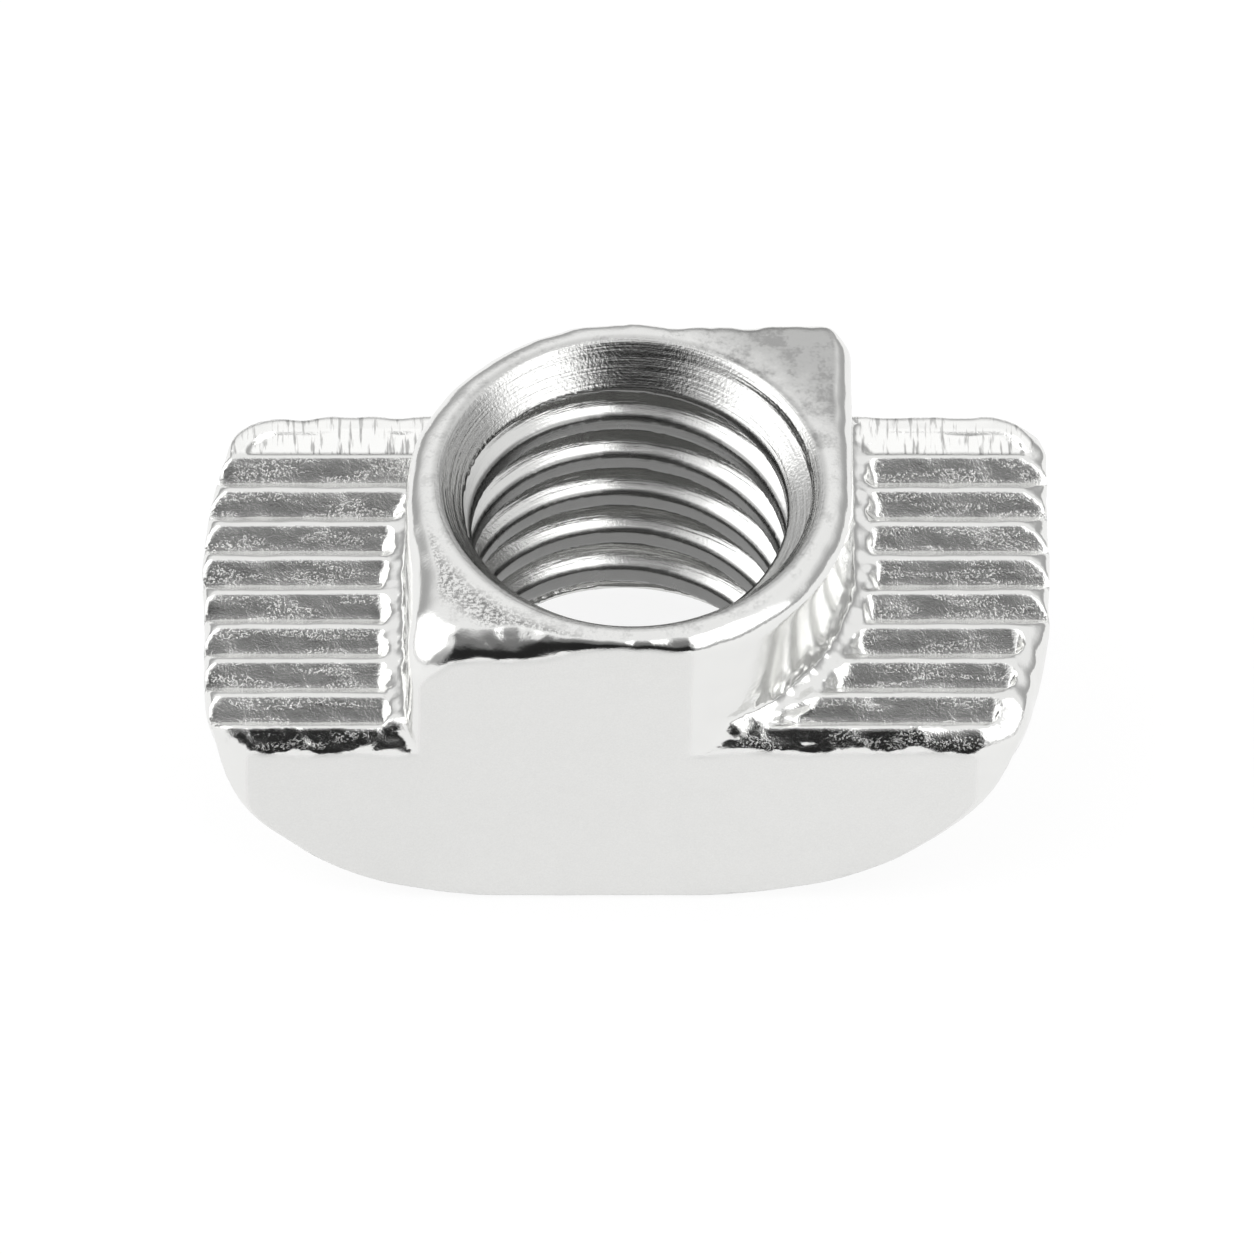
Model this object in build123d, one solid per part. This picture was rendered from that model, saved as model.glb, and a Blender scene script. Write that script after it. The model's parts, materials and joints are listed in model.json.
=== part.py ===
from build123d import *
import math
import os

# A drop-in nut for a slotted extrusion. Its hammer head is lowered into the slot and
# turned a quarter clockwise by its own screw, until the two square heels stop it.
# One piece of steel, pressed, tapped and plated.
# Frame: X along the head, Y across it, Z up through the boss. The origin is on the
# underside, on the axis of the bore.

# ---- boss, which fills the mouth of the slot once the nut is turned ----
boss_length = 9.8
boss_height = 3.0         # above the crests of the ridges
boss_heel_radius = 1.4
boss_toe_radius = 2.4
boss_rim_radius = 0.55
boss_root_radius = 0.3

# ---- hammer head ----
length = 18.7             # end to end
drop_clearance = 0.3      # how much narrower than the boss, to drop into the slot
wing_height = 5.4         # underside to the crests of the ridges
end_trim = 0.3            # how far the ends stand inside the turning circle
heel_radius = 1.3         # upright corner that stops the turn
toe_radius = 2.0          # upright corner where a turning end meets a flat side
end_top_radius = 1.0      # roll-over along the top of each end
side_top_radius = 0.35    # roll-over along the top of each flat side
keel_edge_radius = 0.2    # lower edge of each flat side

# ---- underside: a level keel, a gentle rise to the knee, a steep one to the chin ----
chin_drop = 1.8           # from the crests down to where the steep rise meets the end
chin_run = 3.15           # from the end in to the knee
chin_radius = 1.5
knee_rise = 0.65          # above the keel
knee_run = 2.6            # from the knee in to the keel
knee_radius = 3.0
keel_radius = 4.0
sweep_offset = 6.0        # leading corners are swept from this far past the bore axis

# ---- ridges that bite the lips of the slot ----
ridge_pitch = 1.0
ridge_depth = 0.4
ridge_crest = 0.08        # flat left on top of a ridge
side_land = 0.5           # plain strip beside each flat side
boss_land = 0.45          # plain strip round the boss

# ---- bore for an M8 thread ----
bore_diameter = 6.9       # over the crests of the thread
top_sink_width = 0.75
top_sink_depth = 0.85
bottom_sink_width = 0.9
bottom_sink_depth = 1.05

width = boss_length - drop_clearance
height = wing_height + boss_height
end = length / 2
side = width / 2


def turning_plan(half_length, turning_radius, heel, toe):
    """Plan of a body that turns clockwise between two walls. The corners that lead
    are cut to a turning circle, and the heels that stop it stay nearly square."""
    quarter = Rectangle(half_length, side)
    leading = Pos(half_length / 2, -side / 2) * quarter
    leading += Pos(-half_length / 2, side / 2) * quarter
    plan = Rectangle(2 * half_length, width) - (leading - Circle(turning_radius))
    toe_x = math.sqrt(turning_radius ** 2 - side ** 2)
    for way in (1, -1):
        corners = {
            (way * half_length, way * side, 0): heel,
            (way * toe_x, -way * side, 0): toe,
        }
        for place, radius in corners.items():
            plan = fillet(plan.vertices().sort_by_distance(place)[0], radius)
    return plan


def head_plan():
    return turning_plan(end, end + end_trim, heel_radius, toe_radius)


def boss_plan():
    half = boss_length / 2
    return turning_plan(half, half, boss_heel_radius, boss_toe_radius)


def end_profile():
    """Side view from beyond the bore axis out to one end of the head."""
    knee_x = end - chin_run
    corners = {
        (knee_x - knee_run, 0): keel_radius,
        (knee_x, knee_rise): knee_radius,
        (end, wing_height - chin_drop): chin_radius,
        (end, wing_height): end_top_radius,
    }
    inner = [(-sweep_offset, wing_height), (-sweep_offset, 0)]
    profile = make_face(Polyline(*corners, *inner, close=True))
    for (x, z), radius in corners.items():
        profile = fillet(profile.vertices().sort_by_distance((x, z, 0))[0], radius)
    return Plane.XZ * profile


def head_half():
    """One half of the head: straight across on the side of the heel, and swept round
    on the side that leads."""
    profile = end_profile()
    straight = extrude(profile, width, dir=(0, 1, 0))
    swept = revolve(profile, Axis((-sweep_offset, 0, 0), (0, 0, 1)), -90)
    half = Pos(end, 0, wing_height / 2) * Box(length, 2 * width, wing_height)
    return (straight + swept) & half


def flat_sides():
    """The bar between the two flat sides, with its long edges eased."""
    section = Pos(0, wing_height / 2) * Rectangle(width, wing_height)
    section = fillet(section.vertices().group_by(Axis.Y)[-1], side_top_radius)
    section = fillet(section.vertices().group_by(Axis.Y)[0], keel_edge_radius)
    return extrude(Plane.YZ * section, length, both=True)


def hammer_head():
    half = head_half()
    head = half + Rot(0, 0, 180) * half
    return head & extrude(head_plan(), wing_height) & flat_sides()


def grooves():
    """The V-shaped valleys between the ridges. They run out over the rolled ends and
    stop short of the boss and of the flat sides."""
    half_mouth = (ridge_pitch - ridge_crest) / 2
    valley = make_face(Polyline(
        (0, wing_height - ridge_depth),
        (half_mouth, wing_height),
        (-half_mouth, wing_height),
        close=True,
    ))
    valley = extrude(Plane.YZ * valley, length, both=True)
    pairs = int((side - side_land) / ridge_pitch)
    rows = [Pos(0, ridge_pitch * i, 0) * valley for i in range(-pairs, pairs + 1)]
    return Compound(rows) - extrude(offset(boss_plan(), boss_land), height)


def boss():
    """The boss with its rim rolled over, on a root that flares into the wings."""
    seat = wing_height - ridge_depth
    post = Pos(0, 0, seat) * extrude(boss_plan(), height - seat)
    post = fillet(post.edges().group_by(Axis.Z)[-1], boss_rim_radius)
    around = Rectangle(2 * boss_length, 2 * boss_length)
    post += Pos(0, 0, seat) * extrude(around, ridge_depth)
    level = post.edges().filter_by_position(Axis.Z, wing_height, wing_height)
    root = [edge for edge in level if edge.bounding_box().size.X < boss_length]
    root = [edge for edge in root if abs((edge @ 0.5).X) < boss_length - boss_root_radius]
    post = fillet(root, boss_root_radius)
    land = extrude(offset(boss_plan(), boss_land), height)
    return post & land & Box(2 * length, width, 2 * height)


def bore():
    """Plain bore over the crests of the thread, countersunk at both ends. Each sink goes
    on past its face, so it is as wide as stated where it meets the face."""
    radius = bore_diameter / 2
    top = Cone(radius, radius + 2 * top_sink_width, 2 * top_sink_depth)
    bottom = Cone(radius + 2 * bottom_sink_width, radius, 2 * bottom_sink_depth)
    return Cylinder(radius, 2 * height) + Pos(0, 0, height) * top + bottom


os.makedirs("parts", exist_ok=True)
t_slot_nut = hammer_head() - grooves() + boss() - bore()
export_step(t_slot_nut, "parts/t_slot_nut.step")
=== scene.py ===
import bpy
import json
import math
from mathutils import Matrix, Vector


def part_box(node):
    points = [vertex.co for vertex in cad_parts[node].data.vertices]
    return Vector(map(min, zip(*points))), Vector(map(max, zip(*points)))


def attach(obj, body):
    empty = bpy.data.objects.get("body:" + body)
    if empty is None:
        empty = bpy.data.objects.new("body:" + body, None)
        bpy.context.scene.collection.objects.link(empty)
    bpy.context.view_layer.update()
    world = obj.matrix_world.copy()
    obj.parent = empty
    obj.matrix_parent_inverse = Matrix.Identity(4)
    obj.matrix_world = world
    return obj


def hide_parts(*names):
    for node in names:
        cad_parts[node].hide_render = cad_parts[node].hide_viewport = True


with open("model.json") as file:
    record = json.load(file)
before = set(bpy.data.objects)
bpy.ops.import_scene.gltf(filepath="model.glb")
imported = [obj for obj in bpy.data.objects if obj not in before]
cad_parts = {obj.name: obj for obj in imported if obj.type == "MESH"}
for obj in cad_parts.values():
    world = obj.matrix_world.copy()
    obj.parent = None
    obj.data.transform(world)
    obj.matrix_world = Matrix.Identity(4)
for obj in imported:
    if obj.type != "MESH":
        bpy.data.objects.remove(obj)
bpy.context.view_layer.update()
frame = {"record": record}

# ------------------------------------------------------------------------------
# The nut: one piece of carbon steel, hot pressed to shape with its ridges, then
# drilled, countersunk, tapped M8 and nickel plated. Its form is worked out as the
# distance from any point to its skin, in millimetres.
# ------------------------------------------------------------------------------
millimetres = 1000.0
nut_low, nut_high = (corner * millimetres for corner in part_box("t_slot_nut"))
thread_mount = next(m for m in frame["record"]["mounts"] if m["name"] == "screw_thread")


class Field:
    """A number that varies from point to point. Arithmetic on it adds Math nodes."""

    def __init__(self, tree, socket):
        self.tree, self.socket = tree, socket

    def maths(self, operation, *others):
        node = self.tree.nodes.new("ShaderNodeMath")
        node.operation = operation
        for socket, value in zip(node.inputs, (self, *others)):
            if isinstance(value, Field):
                self.tree.links.new(value.socket, socket)
            else:
                socket.default_value = value
        return Field(self.tree, node.outputs[0])

    def __add__(self, other):
        return self.maths("ADD", other)

    def __sub__(self, other):
        return self.maths("SUBTRACT", other)

    def __mul__(self, other):
        return self.maths("MULTIPLY", other)

    def __truediv__(self, other):
        return self.maths("DIVIDE", other)

    def __neg__(self):
        return self * -1

    def __abs__(self):
        return self.maths("ABSOLUTE")

    def __rsub__(self, other):
        return -self + other

    __radd__, __rmul__ = __add__, __mul__


def larger(a, b):
    return a.maths("MAXIMUM", b)


def smaller(a, b):
    return a.maths("MINIMUM", b)


def axes(tree, vector):
    """The vector's x, y and z."""
    parting = tree.nodes.new("ShaderNodeSeparateXYZ")
    tree.links.new(vector, parting.inputs[0])
    return [Field(tree, axis) for axis in parting.outputs]


def across(*sides):
    """Length of the diagonal over these sides."""
    total = sides[0] * sides[0]
    for one in sides[1:]:
        total = total + one * one
    return total.maths("SQRT")


def ease(value, start, end, low=0.0, high=1.0):
    """Goes smoothly from low to high as value goes from start to end."""
    node = value.tree.nodes.new("ShaderNodeMapRange")
    node.interpolation_type = "SMOOTHSTEP"
    for name, given in (("Value", value), ("From Min", start), ("From Max", end),
                        ("To Min", low), ("To Max", high)):
        if isinstance(given, Field):
            value.tree.links.new(given.socket, node.inputs[name])
        else:
            node.inputs[name].default_value = given
    return Field(value.tree, node.outputs["Result"])


def cloudy(tree, point, scale, detail=1.0):
    """Soft noise about zero, for what a press and a tumbler leave uneven."""
    node = tree.nodes.new("ShaderNodeTexNoise")
    node.inputs["Scale"].default_value = scale
    node.inputs["Detail"].default_value = detail
    tree.links.new(point, node.inputs["Vector"])
    return Field(tree, node.outputs[0]) - 0.5


def trimmed(a, b, radius):
    """What is inside both a and b, with the edge between them rounded."""
    rest = smaller(larger(a, b), radius * -1)
    return rest + across(larger(a + radius, 0), larger(b + radius, 0))


def joined(a, b, radius):
    """What is inside a or b, with the corner between them filled to a fillet."""
    return -trimmed(-a, -b, radius)


def oblique(radius, turn):
    """What trimmed needs for an arc of this radius where the faces turn by less
    than a right angle."""
    return radius * (1 - math.cos(turn))


# Sizes of the nut, in millimetres: the inputs of the trees that shape it. The grain
# is an odd share of the ridge pitch, so that a row of the grid lies in each valley.
length, width, height = nut_high - nut_low
crest_radius = thread_mount["dims"]["r_mm"]
ridge_pitch = 1.0
grains_a_ridge = 11
sizes = {
    "Length": length,
    "Width": width,
    "Height": height,
    "Wing Height": 5.4,
    "Boss Length": 9.8,
    "Ridge Pitch": ridge_pitch,
    "Ridge Depth": 0.4,
    "Thread Pitch": 1.25,
    "Thread Crest Radius": crest_radius,
    "Thread Root Radius": 4.03,
    "Grain": ridge_pitch / grains_a_ridge,
}


def size_inputs(tree):
    """Gives the tree one input for each size."""
    for name, value in sizes.items():
        socket = tree.interface.new_socket(name, in_out="INPUT", socket_type="NodeSocketFloat")
        socket.default_value = value


form = bpy.data.node_groups.new("Nut form", "GeometryNodeTree")
form.interface.new_socket("Point", in_out="INPUT", socket_type="NodeSocketVector")
size_inputs(form)
form.interface.new_socket("Distance", in_out="OUTPUT", socket_type="NodeSocketFloat")
form_in = form.nodes.new("NodeGroupInput")
form_out = form.nodes.new("NodeGroupOutput")
point = form_in.outputs["Point"]
x, y, z = axes(form, point)
size = {name: Field(form, form_in.outputs[name]) for name in sizes}

# Unevenness from pressing and tumbling: of edges, of the root of the boss, and fine.
edge_wander = cloudy(form, point, 0.9, 1.0)
lumps = cloudy(form, point, 2.2, 1.5)
grit = cloudy(form, point, 5.0, 1.0)

# Both ends have one outline, so each point is taken to the end where x is positive.
# There the corner with y below zero leads the turn, and the other is the heel.
along = abs(x)
lead = y * x.maths("SIGN")
behind = smaller(lead, 0)
radial = across(x, y)
side = abs(y) - size["Width"] / 2
end = size["Length"] / 2
right_wing = ease(x, 6, 7)

# The hammer head: straight across on the heel side and swept round on the side that
# leads. Below, a level keel, a gentle rise and a steep chin.
sweep_offset = 6.0
end_trim, end_blend = 0.3, 0.3
toe_radius, heel_radius = 1.0, 1.3
knee_in, knee_rise, knee_run = 3.15, 0.65, 2.6
chin_drop = 1.8
keel_radius, chin_radius = 9.0, 5.0
gentle = math.atan2(knee_rise, knee_run)
steep = math.atan2(sizes["Wing Height"] - chin_drop - knee_rise, knee_in)
out = across(along + sweep_offset, behind) - sweep_offset
knee = end - knee_in
rise = (out - knee + knee_run) * math.sin(gentle) - z * math.cos(gentle)
chin = (out - knee) * math.sin(steep) - (z - knee_rise) * math.cos(steep)
under = trimmed(-z, rise, oblique(keel_radius, gentle))
under = trimmed(under, chin, oblique(chin_radius, steep - gentle))
turning = across(along, behind) - end - end_trim
head_end = trimmed(out - end, turning, end_blend)
head_plan = trimmed(head_end, side, ease(lead, -1, 1, toe_radius, heel_radius))
near_end = ease(head_end, -1.6, -0.5)

# The boss that fills the mouth of the slot. Its ends are swept round to the toes. Its
# heels are nearly square below, and worn round at the top, most at the front left.
boss_foot = 3.0
boss_toe_radius, boss_heel_radius = 0.08, 0.45
left_heel_wear, right_heel_wear = 1.4, 0.7
end_rim, side_rim, worn_rim = 0.55, 0.33, 0.5
boss_end = across(along, behind) - size["Boss Length"] / 2
heel_wear = ease(x, -1, 1, left_heel_wear, right_heel_wear)
heel = ease(z, 6.9, 8.1, boss_heel_radius, heel_wear)
boss_plan = trimmed(boss_end, side, ease(lead, -0.5, 1.5, boss_toe_radius, heel))
on_flat = ease(side - boss_end, -0.5, 0.5)
boss_rim = end_rim - (end_rim - side_rim) * on_flat
boss_rim = boss_rim * (1 + (0.35 + 0.9 * on_flat) * edge_wander + 0.5 * on_flat * lumps)
boss_rim = boss_rim + worn_rim * ease(-x - y, 5.4, 7.2)
boss = larger(trimmed(boss_plan, z - size["Height"], boss_rim), boss_foot - z)

# Grooves between the ridges that bite the lips of the slot: crisp valleys, worn crests.
# They end short of the boss, and at the right toe they are closed.
rows = 4
half_mouth = 0.46
crest_wear, crest_round = 0.09, 0.05
row = (y / size["Ridge Pitch"]).maths("ROUND")
row = smaller(larger(row, -rows), rows)
off_valley = abs(y - row * size["Ridge Pitch"]) / half_mouth
groove = size["Ridge Depth"] * (1 - off_valley) + edge_wander * crest_wear * off_valley
groove = trimmed(groove, groove * 0, crest_round)
short_of_boss = ease(boss_plan + lumps * 0.35, 0.28, 0.55)
right_toe = y.maths("LESS_THAN", -1.5) * x.maths("GREATER_THAN", 0)
closed = ease(head_end + off_valley * off_valley * 0.3 + lumps * 0.15, -0.80, -0.45)
ridged = short_of_boss * (1 - closed * right_toe)

# Behind the last ridge the press left a shallow sheared strip inside a raised rim.
last_crest = (rows - 0.5) * ridge_pitch
strip_depth, strip_rise = 0.14, 0.09
rim_height = 0.12
behind_ridges = y.maths("GREATER_THAN", last_crest)
strip = strip_depth * ease(y, last_crest, last_crest + 0.1)
strip = strip - strip_rise * ease(y, last_crest + 0.2, last_crest + 0.8)
on_rim = ease(head_plan + edge_wander * 0.25, -0.62, -0.50)
raised = rim_height * on_rim * ease(y, last_crest, last_crest + 0.3)
dip = groove + (strip - groove) * behind_ridges
dip = dip * (1 - on_rim * behind_ridges)

# The top edge of the wings: rounded, wider at the right heel and the right toe, and
# rolled over along the front.
edge_round, toe_edge_more = 0.5, 0.45
roll_in, roll_tilt, roll_round = 0.42, math.radians(56), 0.12
above = z - size["Wing Height"] + lumps * 0.04
flattened = 0.5 * near_end * right_wing * ease(y, -2.2, -0.6)
edge_radius = edge_round + toe_edge_more * ease(y, -2.6, -1.4, 1, 0) * right_wing
edge_radius = edge_radius * (1 + 1.2 * edge_wander)
head = trimmed(head_plan * (1 - flattened), above - raised, edge_radius)
roll_out = -y - (width / 2 - roll_in) + edge_wander * 0.25 + grit * 0.08
roll_up = z - size["Wing Height"]
head = trimmed(head, roll_out * math.sin(roll_tilt) + roll_up * math.cos(roll_tilt), roll_round)
head = trimmed(head, (above + dip * ridged) * 0.85, 0.025)
head = trimmed(head, under, near_end * ease(side, -0.7, -0.1, 1.2, 0.3) + 0.2)

# Head and boss meet in a lumpy fillet, which dies out at the flat sides.
root_radius = 0.32
near_root = ease(abs(boss_plan - 0.2), 0.1, 0.5, 1.0, 0.0)
near_root = near_root * ease(abs(roll_up), 0.2, 0.9, 1.0, 0.0)
root_lumps = (lumps * 0.12 + grit * 0.07) * near_root * ease(-side, 0, 0.3)
body = joined(head, boss, root_radius * ease(-side, 0, 0.4))
body = body + root_lumps + edge_wander * 0.02

# The bore: an M8 right-hand thread cut from end to end, with a countersink at each.
flank_angle = math.radians(30)
root_flat, root_round, crest_edge = 0.16, 0.07, 0.03
thread_start = 0.09
top_sink, top_sink_depth = 0.75, 0.85
low_sink, low_sink_depth = 0.9, 1.05
turn = y.maths("ARCTAN2", x) / math.tau
phase = (z / size["Thread Pitch"] - turn + thread_start).maths("FRACT")
off_root = abs(phase - 0.5) * size["Thread Pitch"]
depth_in = radial - size["Thread Root Radius"]
flank = (off_root - root_flat / 2) * math.cos(flank_angle) + depth_in * math.sin(flank_angle)
core = radial - size["Thread Crest Radius"]
cut = joined(trimmed(flank, depth_in, root_round), core, crest_edge)
top_slope = math.atan2(top_sink, top_sink_depth)
low_slope = math.atan2(low_sink, low_sink_depth)
over_sink = z - (size["Height"] - top_sink_depth)
cut = joined(cut, core * math.cos(top_slope) - over_sink * math.sin(top_slope), 0.04)
cut = joined(cut, core * math.cos(low_slope) - (low_sink_depth - z) * math.sin(low_slope), 0.05)
distance = trimmed(body, -cut, 0.06)
form.links.new(distance.socket, form_out.inputs["Distance"])

# The skin: a fine grid finds it, and each of its points is then drawn onto it.
press = bpy.data.node_groups.new("Nut", "GeometryNodeTree")
size_inputs(press)
press.interface.new_socket("Material", in_out="INPUT", socket_type="NodeSocketMaterial")
press.interface.new_socket("Geometry", in_out="OUTPUT", socket_type="NodeSocketGeometry")
press_in = press.nodes.new("NodeGroupInput")
press_out = press.nodes.new("NodeGroupOutput")


def distance_at(place):
    """How far this place is outside the nut's skin."""
    node = press.nodes.new("GeometryNodeGroup")
    node.node_tree = form
    press.links.new(place, node.inputs["Point"])
    for name in sizes:
        press.links.new(press_in.outputs[name], node.inputs[name])
    return Field(press, node.outputs["Distance"])


def vectors(operation, *values):
    """Adds a Vector Math node over sockets and plain values."""
    node = press.nodes.new("ShaderNodeVectorMath")
    node.operation = operation
    for socket, value in zip(node.inputs, values):
        if isinstance(value, tuple):
            socket.default_value = value
        else:
            press.links.new(value, socket)
    return node.outputs[0]


def scaled(vector, factor):
    """The vector times a number or a Field."""
    node = press.nodes.new("ShaderNodeVectorMath")
    node.operation = "SCALE"
    if isinstance(vector, tuple):
        node.inputs[0].default_value = vector
    else:
        press.links.new(vector, node.inputs[0])
    if isinstance(factor, Field):
        press.links.new(factor.socket, node.inputs["Scale"])
    else:
        node.inputs["Scale"].default_value = factor
    return node.outputs[0]


def squared(vector):
    """The vector's length, squared."""
    node = press.nodes.new("ShaderNodeVectorMath")
    node.operation = "DOT_PRODUCT"
    press.links.new(vector, node.inputs[0])
    press.links.new(vector, node.inputs[1])
    return Field(press, node.outputs["Value"])


margin = 0.25
here = press.nodes.new("GeometryNodeInputPosition").outputs[0]
cube = press.nodes.new("GeometryNodeVolumeCube")
press.links.new((-distance_at(here)).socket, cube.inputs["Density"])
cube.inputs["Background"].default_value = -1.0
lows = press.nodes.new("ShaderNodeCombineXYZ")
highs = press.nodes.new("ShaderNodeCombineXYZ")
spans = {"X": "Length", "Y": "Width", "Z": "Height"}
grain_size = Field(press, press_in.outputs["Grain"])
for axis, name in spans.items():
    whole = Field(press, press_in.outputs[name])
    cells = ((whole / 2 + margin) / grain_size).maths("CEIL") * 2 + 1
    half_span = cells * grain_size / 2
    middle = whole / 2 if axis == "Z" else whole * 0
    press.links.new((middle - half_span).socket, lows.inputs[axis])
    press.links.new((middle + half_span).socket, highs.inputs[axis])
    press.links.new((cells + 1.5).socket, cube.inputs["Resolution " + axis])
press.links.new(lows.outputs[0], cube.inputs["Min"])
press.links.new(highs.outputs[0], cube.inputs["Max"])
skin = press.nodes.new("GeometryNodeVolumeToMesh")
skin.inputs["Threshold"].default_value = 0.0
press.links.new(cube.outputs["Volume"], skin.inputs["Volume"])
shape = skin.outputs["Mesh"]

# Four tries about a point tell how far off the skin is and which way it lies.
reach = 0.012
longest_move, least_slope = 0.08, 0.2
tries = ((1, 1, 1), (1, -1, -1), (-1, 1, -1), (-1, -1, 1))
for step in range(3):
    slope, total = None, None
    for way in tries:
        found = distance_at(vectors("ADD", here, tuple(reach * w for w in way)))
        part = scaled(tuple(float(w) for w in way), found)
        slope = part if slope is None else vectors("ADD", slope, part)
        total = found if total is None else total + found
    slope = scaled(slope, 1 / (4 * reach))
    offset = scaled(slope, -(total / 4) / larger(squared(slope), least_slope))
    offset = vectors("MAXIMUM", offset, (-longest_move,) * 3)
    offset = vectors("MINIMUM", offset, (longest_move,) * 3)
    draw = press.nodes.new("GeometryNodeSetPosition")
    press.links.new(shape, draw.inputs["Geometry"])
    press.links.new(offset, draw.inputs["Offset"])
    shape = draw.outputs["Geometry"]

to_metres = press.nodes.new("GeometryNodeTransform")
to_metres.inputs["Scale"].default_value = (1 / millimetres,) * 3
press.links.new(shape, to_metres.inputs["Geometry"])
smooth = press.nodes.new("GeometryNodeSetShadeSmooth")
press.links.new(to_metres.outputs["Geometry"], smooth.inputs["Geometry"])

# The valleys of the ridges stay sharp where two faces meet at more than this angle.
valley_band, valley_angle = 0.08, 0.45
level = axes(press, here)[2] * millimetres
wing_top = Field(press, press_in.outputs["Wing Height"])
valley_level = wing_top - Field(press, press_in.outputs["Ridge Depth"])
edge_angle = press.nodes.new("GeometryNodeInputMeshEdgeAngle")
bend = Field(press, edge_angle.outputs["Unsigned Angle"])
in_valley = abs(level - valley_level).maths("LESS_THAN", valley_band)
in_valley = in_valley * bend.maths("GREATER_THAN", valley_angle)
crease = press.nodes.new("GeometryNodeSetShadeSmooth")
crease.domain = "EDGE"
crease.inputs["Shade Smooth"].default_value = False
press.links.new(smooth.outputs["Geometry"], crease.inputs["Geometry"])
press.links.new(in_valley.socket, crease.inputs["Selection"])
real = press.nodes.new("GeometryNodeRealizeInstances")
press.links.new(crease.outputs["Geometry"], real.inputs["Geometry"])
coat = press.nodes.new("GeometryNodeSetMaterial")
press.links.new(real.outputs["Geometry"], coat.inputs["Geometry"])
press.links.new(press_in.outputs["Material"], coat.inputs["Material"])
press.links.new(coat.outputs["Geometry"], press_out.inputs["Geometry"])

# Nickel plate over pressed steel: bright all over, satin on the two flat sides, with
# turned marks in the countersink and a rougher, drilled crest on the thread. Its tone
# carries painted shade in the bore and countersink and on the crest, a painted dark
# reflection on the boss top and a painted highlight on the sheared strip.
plate = bpy.data.materials.new("nickel plate")
plate.use_nodes = True
nodes, links = plate.node_tree.nodes, plate.node_tree.links
metal = nodes["Principled BSDF"]
metal.inputs["Metallic"].default_value = 1.0
in_mm = nodes.new("ShaderNodeVectorMath")
in_mm.operation = "SCALE"
in_mm.inputs["Scale"].default_value = millimetres
links.new(nodes.new("ShaderNodeTexCoord").outputs["Object"], in_mm.inputs[0])
place = in_mm.outputs[0]
px, py, pz = axes(plate.node_tree, place)
normal = nodes.new("ShaderNodeNewGeometry").outputs["Normal"]
tilt_y, tilt_z = axes(plate.node_tree, normal)[1:]
tilt_y = abs(tilt_y)
off_axis = across(px, py)


def stretched(detail, **scaled_axes):
    """Noise drawn out along some axes: each axis given is that place, scaled."""
    gather = nodes.new("ShaderNodeCombineXYZ")
    for axis, value in scaled_axes.items():
        links.new(value.socket, gather.inputs[axis])
    return cloudy(plate.node_tree, gather.outputs[0], 1.0, detail)


# What the surface is made of: fine and coarse grain, cloudy tarnish, turned marks,
# rows of pits on the ridges and the scores that shearing leaves.
grain = cloudy(plate.node_tree, place, 14.0, 4.0)
speck = cloudy(plate.node_tree, place, 30.0, 2.0)
blotch = cloudy(plate.node_tree, place, 1.6, 3.0)
turned = stretched(4.0, X=py.maths("ARCTAN2", px) * 1.6, Y=off_axis * 14, Z=pz * 14)
pits = ease(cloudy(plate.node_tree, place, 18.0, 2.0), 0.04, 0.12)
pits = pits * ease(stretched(2.0, X=px * 0.7, Y=py * 4), -0.05, 0.12)
scores = ease(stretched(3.0, X=px * 9, Y=py * 1.2), 0.02, 0.16)

# Where each lies, as 0 to 1.
wing_height = sizes["Wing Height"]
sink_top = ease(pz, height - 0.9, height - 0.7)
satin = ease(abs(py), width / 2 - 0.06, width / 2 - 0.02)
in_bore = ease(off_axis, crest_radius + 0.55, crest_radius + 0.70, 1, 0) * (1 - sink_top)
# The thread's crest: rougher, and given the most painted shade.
drilled_crest_and_painted_shade = ease(off_axis, crest_radius + 0.05, crest_radius + 0.12, 1, 0) * in_bore
in_sink = ease(off_axis, crest_radius + 0.80, crest_radius + 0.95, 1, 0) * sink_top
on_flanks = ease(tilt_y, 0.35, 0.5) * ease(tilt_y, 0.8, 0.92, 1, 0) * (1 - in_bore)
on_flanks = on_flanks * ease(pz, wing_height - 0.6, wing_height - 0.5)
on_flanks = on_flanks * ease(pz, wing_height - 0.05, wing_height + 0.1, 1, 0)
on_strip = ease(py, last_crest, last_crest + 0.1) * ease(tilt_z, 0.8, 0.95)
on_strip = on_strip * ease(pz, wing_height - 0.20, wing_height - 0.15)
on_strip = on_strip * ease(pz, wing_height - 0.02, wing_height + 0.04, 1, 0)
on_top = ease(tilt_z, 0.9, 0.98) * ease(pz, height - 0.2, height - 0.1)
# The back right of the boss top: rougher, and darkened as a painted dark reflection.
dull_and_painted_dark_reflection = on_top * ease(px + py + blotch * 3 + grain, 4.8, 7.4)
tarnish = on_top * ease(blotch + 0.4 * grain, -0.02, 0.2)
flow_line = crest_radius + 1.5
burr = on_top * ease(abs(off_axis - flow_line), 0.1, 0.5, 1, 0) * ease(-px - py, 5.0, 6.2)
burr = burr * ease(grain + 0.6 * speck, -0.12, 0.1)

rough = 0.12 + 0.08 * blotch + 0.26 * satin + 0.08 * on_flanks + 0.02 * in_bore
rough = rough + 0.06 * in_sink + 0.12 * drilled_crest_and_painted_shade + 0.10 * dull_and_painted_dark_reflection
links.new(rough.socket, metal.inputs["Roughness"])

# Painted shade: the plate is darker in the bore and in the countersink, and darkest on the
# thread's crest.
shade = 0.80 + 0.05 * blotch + 0.10 * speck * satin - 0.12 * in_bore - 0.44 * drilled_crest_and_painted_shade
# A painted dark reflection at the back right of the boss top. The tarnish and the burr round the
# countersink are the plate's own.
shade = shade - 0.20 * in_sink - 0.30 * dull_and_painted_dark_reflection - 0.14 * tarnish - 0.45 * burr
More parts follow.
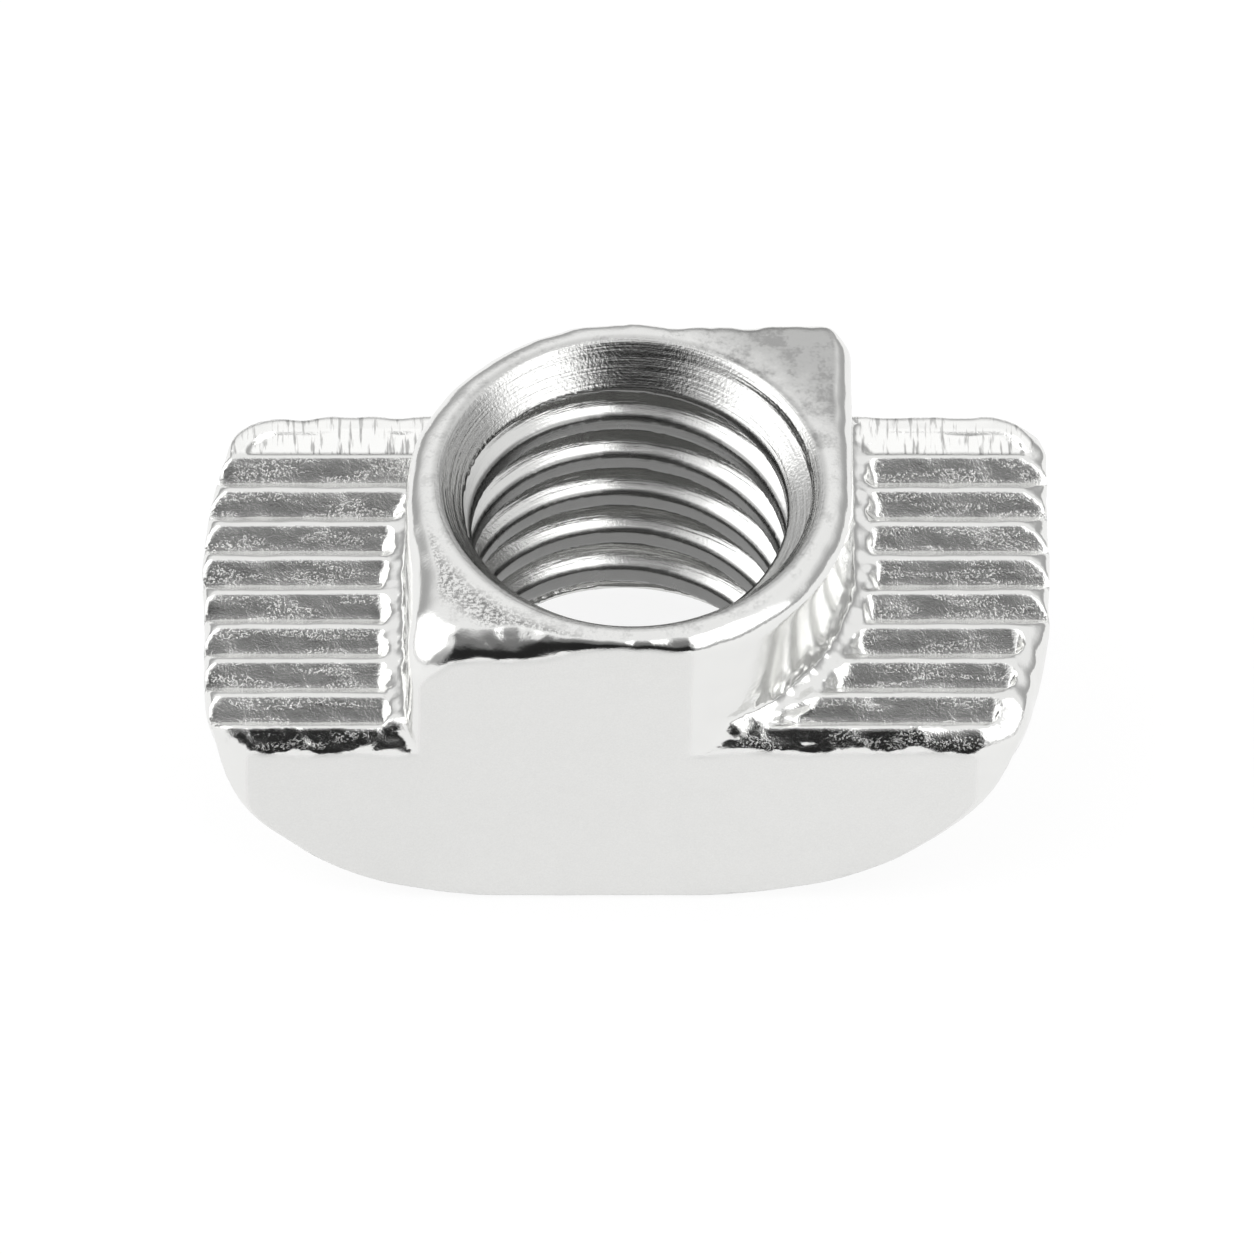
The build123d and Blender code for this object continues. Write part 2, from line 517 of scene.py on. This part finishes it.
# Painted highlight: the sheared strip is made brighter than the plate, crossed by the darker
# scores of shearing.
shade = shade + on_strip * (0.17 - 0.5 * scores)
warmth = 0.985
tone = nodes.new("ShaderNodeCombineColor")
for channel, balance in (("Red", 1.0), ("Green", 1.0), ("Blue", warmth)):
    links.new((shade * balance).socket, tone.inputs[channel])
links.new(tone.outputs[0], metal.inputs["Base Color"])

relief = nodes.new("ShaderNodeBump")
relief.inputs["Distance"].default_value = 1 / millimetres
relief.inputs["Strength"].default_value = 1.0
surface = grain * (0.002 + 0.004 * on_flanks + 0.008 * in_sink + 0.003 * on_top)
surface = surface + speck * (0.001 + 0.004 * satin + 0.003 * on_flanks)
surface = surface + turned * (0.020 * in_sink + 0.006 * in_bore)
surface = surface + pits * on_flanks * 0.005
links.new(surface.socket, relief.inputs["Height"])
links.new(relief.outputs["Normal"], metal.inputs["Normal"])

nut = bpy.data.objects.new("nut", bpy.data.meshes.new("nut"))
bpy.context.scene.collection.objects.link(nut)
pressing = nut.modifiers.new("pressing", "NODES")
pressing.node_group = press
for socket in press.interface.items_tree:
    if socket.item_type == "SOCKET" and socket.in_out == "INPUT":
        value = plate if socket.name == "Material" else sizes[socket.name]
        pressing[socket.identifier] = value


def as_shown(thing):
    """A new mesh of the thing with its modifiers applied."""
    graph = bpy.context.evaluated_depsgraph_get()
    return bpy.data.meshes.new_from_object(thing.evaluated_get(graph))


pressed = as_shown(nut)
nut.modifiers.clear()
nut.data = pressed

# The flat sides and the plain underside need few faces. The rest keeps its even grid.
flat_within = (width / 2 - 0.02) / millimetres
sink_edge = (crest_radius + 1.05) / millimetres
facing_down = -0.2
share_dropped = 0.92
flat = nut.vertex_groups.new(name="flat")
flat.add([v.index for v in pressed.vertices if abs(v.co.y) > flat_within
          or (v.normal.z < facing_down and v.co.xy.length > sink_edge)], 1.0, "REPLACE")
members = sum(1 for v in pressed.vertices if v.groups)
thinning = nut.modifiers.new("thinning", "DECIMATE")
thinning.vertex_group = "flat"
thinning.ratio = 1 - share_dropped * members / len(pressed.vertices)
thinned = as_shown(nut)
nut.modifiers.clear()
nut.data = thinned
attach(nut, "root")
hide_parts("t_slot_nut")

# ------------------------------------------------------------------------------
# The studio: a large sheet of white paper under a soft white sky, with a softbox at
# each side and the dark end of the room behind the camera.
# ------------------------------------------------------------------------------
def rays(tree, *kinds):
    """One for a ray that is of one of these kinds."""
    path = tree.nodes.new("ShaderNodeLightPath")
    found = Field(tree, path.outputs[kinds[0]])
    for kind in kinds[1:]:
        found = larger(found, Field(tree, path.outputs[kind]))
    return found


paper_reach = 0.3
corners = [(paper_reach * i, paper_reach * j, 0) for i, j in ((-1, -1), (1, -1), (1, 1), (-1, 1))]
floor_mesh = bpy.data.meshes.new("floor")
floor_mesh.from_pydata(corners, [], [(0, 1, 2, 3)])
floor = bpy.data.objects.new("floor", floor_mesh)
bpy.context.scene.collection.objects.link(floor)

# White paper. Where it is looked at, straight or in the metal, most of its white is its
# own, so that it stays white and still takes a faint shadow. To all else it is a card.
card_white, shaded_part, own_white = 0.9, 0.15, 0.86
paper = bpy.data.materials.new("white paper")
paper.use_nodes = True
card = paper.node_tree.nodes["Principled BSDF"]
card.inputs["Roughness"].default_value = 0.9
card.inputs["Emission Color"].default_value = (1, 1, 1, 1)
looked_at = rays(paper.node_tree, "Is Camera Ray", "Is Glossy Ray", "Is Transmission Ray")
paper.node_tree.links.new((looked_at * own_white).socket, card.inputs["Emission Strength"])
tint = paper.node_tree.nodes.new("ShaderNodeMix")
tint.data_type = "RGBA"
tint.inputs["A"].default_value = (card_white, card_white, card_white, 1)
tint.inputs["B"].default_value = (shaded_part, shaded_part, shaded_part, 1)
paper.node_tree.links.new(looked_at.socket, tint.inputs["Factor"])
paper.node_tree.links.new(tint.outputs["Result"], card.inputs["Base Color"])
floor_mesh.materials.append(paper)

world = bpy.data.worlds.new("studio")
bpy.context.scene.world = world
world.use_nodes = True
sky = world.node_tree.nodes["Background"]
sky.inputs["Color"].default_value = (1, 1, 1, 1)
direction = world.node_tree.nodes.new("ShaderNodeTexCoord").outputs["Generated"]
east, north, up = axes(world.node_tree, direction)
degree = math.radians(1)
bearing = east.maths("ARCTAN2", -north)
climb = up.maths("ARCSINE")


def window(start, end, floor_edge, ceiling, soft=8):
    """One where the sky is between two bearings and two heights, in degrees. Bearings
    count from the camera's side towards the right."""
    inside = ease(bearing, (start - soft) * degree, (start + soft) * degree)
    inside = inside * ease(bearing, (end - soft) * degree, (end + soft) * degree, 1, 0)
    inside = inside * ease(climb, (floor_edge - soft) * degree, (floor_edge + soft) * degree)
    return inside * ease(climb, (ceiling - soft) * degree, (ceiling + soft) * degree, 1, 0)


# A wall that pales upwards, the two softboxes and the dark end. Seen by the camera
# itself the sky is plain white.
softbox = 2.2
bright = ease(climb, 10 * degree, 45 * degree, 0.45, 1.0)
for opening in (window(32, 78, 12, 72), window(-115, -60, 4, 68)):
    bright = bright + (softbox - bright) * opening
gloom = ease(climb, 30 * degree, 48 * degree, 0.02, 0.21)
gloom = gloom + ease(climb, 56 * degree, 74 * degree, 0, 0.3)
bright = bright + (gloom - bright) * window(-36, 26, -20, 78, soft=6)
strength = bright + (1 - bright) * rays(world.node_tree, "Is Camera Ray", "Is Transmission Ray")
world.node_tree.links.new(strength.socket, sky.inputs["Strength"])

# The camera: a long lens, which looks down at the front of the nut.
azimuth, elevation, roll = math.radians(-1.6), math.radians(48.5), math.radians(1.2)
camera_distance, frame_span = 0.9, 0.0275
aim = Vector((0, 0, 0.00363))
camera_data = bpy.data.cameras.new("camera")
camera = bpy.data.objects.new("camera", camera_data)
bpy.context.scene.collection.objects.link(camera)
bpy.context.scene.camera = camera
back = Vector((math.sin(azimuth) * math.cos(elevation),
               -math.cos(azimuth) * math.cos(elevation),
               math.sin(elevation)))
camera.location = aim + back * camera_distance
camera.rotation_euler = (-back).to_track_quat("-Z", "Y").to_euler()
camera.rotation_euler.rotate_axis("Z", roll)
camera_data.sensor_width = 36.0
camera_data.lens = camera_data.sensor_width * camera_distance / frame_span
camera_data.clip_start, camera_data.clip_end = 0.01, 10.0
bpy.context.scene.view_settings.view_transform = "Standard"
